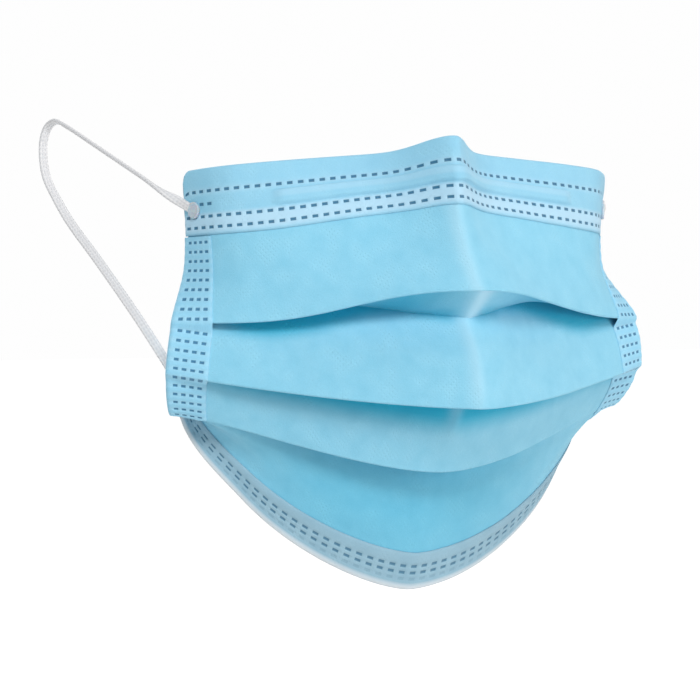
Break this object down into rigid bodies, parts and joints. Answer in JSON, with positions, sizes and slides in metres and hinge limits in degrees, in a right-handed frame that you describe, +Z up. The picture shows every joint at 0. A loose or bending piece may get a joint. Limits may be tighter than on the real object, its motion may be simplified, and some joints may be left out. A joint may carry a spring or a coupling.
{
  "type": "surgical face mask",
  "caption": "Pleated surgical face mask in its worn form, with a wired top hem, welded side bands and elastic ear loops.",
  "frame": {"origin": "nose seat: the inner face of the cloth at the middle of the top edge", "axes": "+X to the viewer's right from the front, +Z up, the wearer faces -Y"},
  "size_m": [0.1555, 0.1196, 0.1317],
  "materials": {
    "blue_nonwoven": "matte spunbonded nonwoven",
    "hem_nonwoven": "matte welded nonwoven strip",
    "band_nonwoven": "matte welded nonwoven band",
    "nose_wire": "white plastic over soft wire",
    "fused_end": "melted elastic end, slightly see-through",
    "elastic": "knitted flat elastic"
  },
  "bodies": {
    "root": {"mask_body": "blue_nonwoven", "top_hem": "hem_nonwoven", "nose_wire": "nose_wire", "bottom_hem": "hem_nonwoven", "side_band_left": "band_nonwoven", "side_band_right": "band_nonwoven", "upper_pad_left": "fused_end", "upper_pad_right": "fused_end", "lower_pad_left": "fused_end", "lower_pad_right": "fused_end", "ear_loop_left": "elastic", "ear_loop_right": "elastic"}
  },
  "joints": []
}
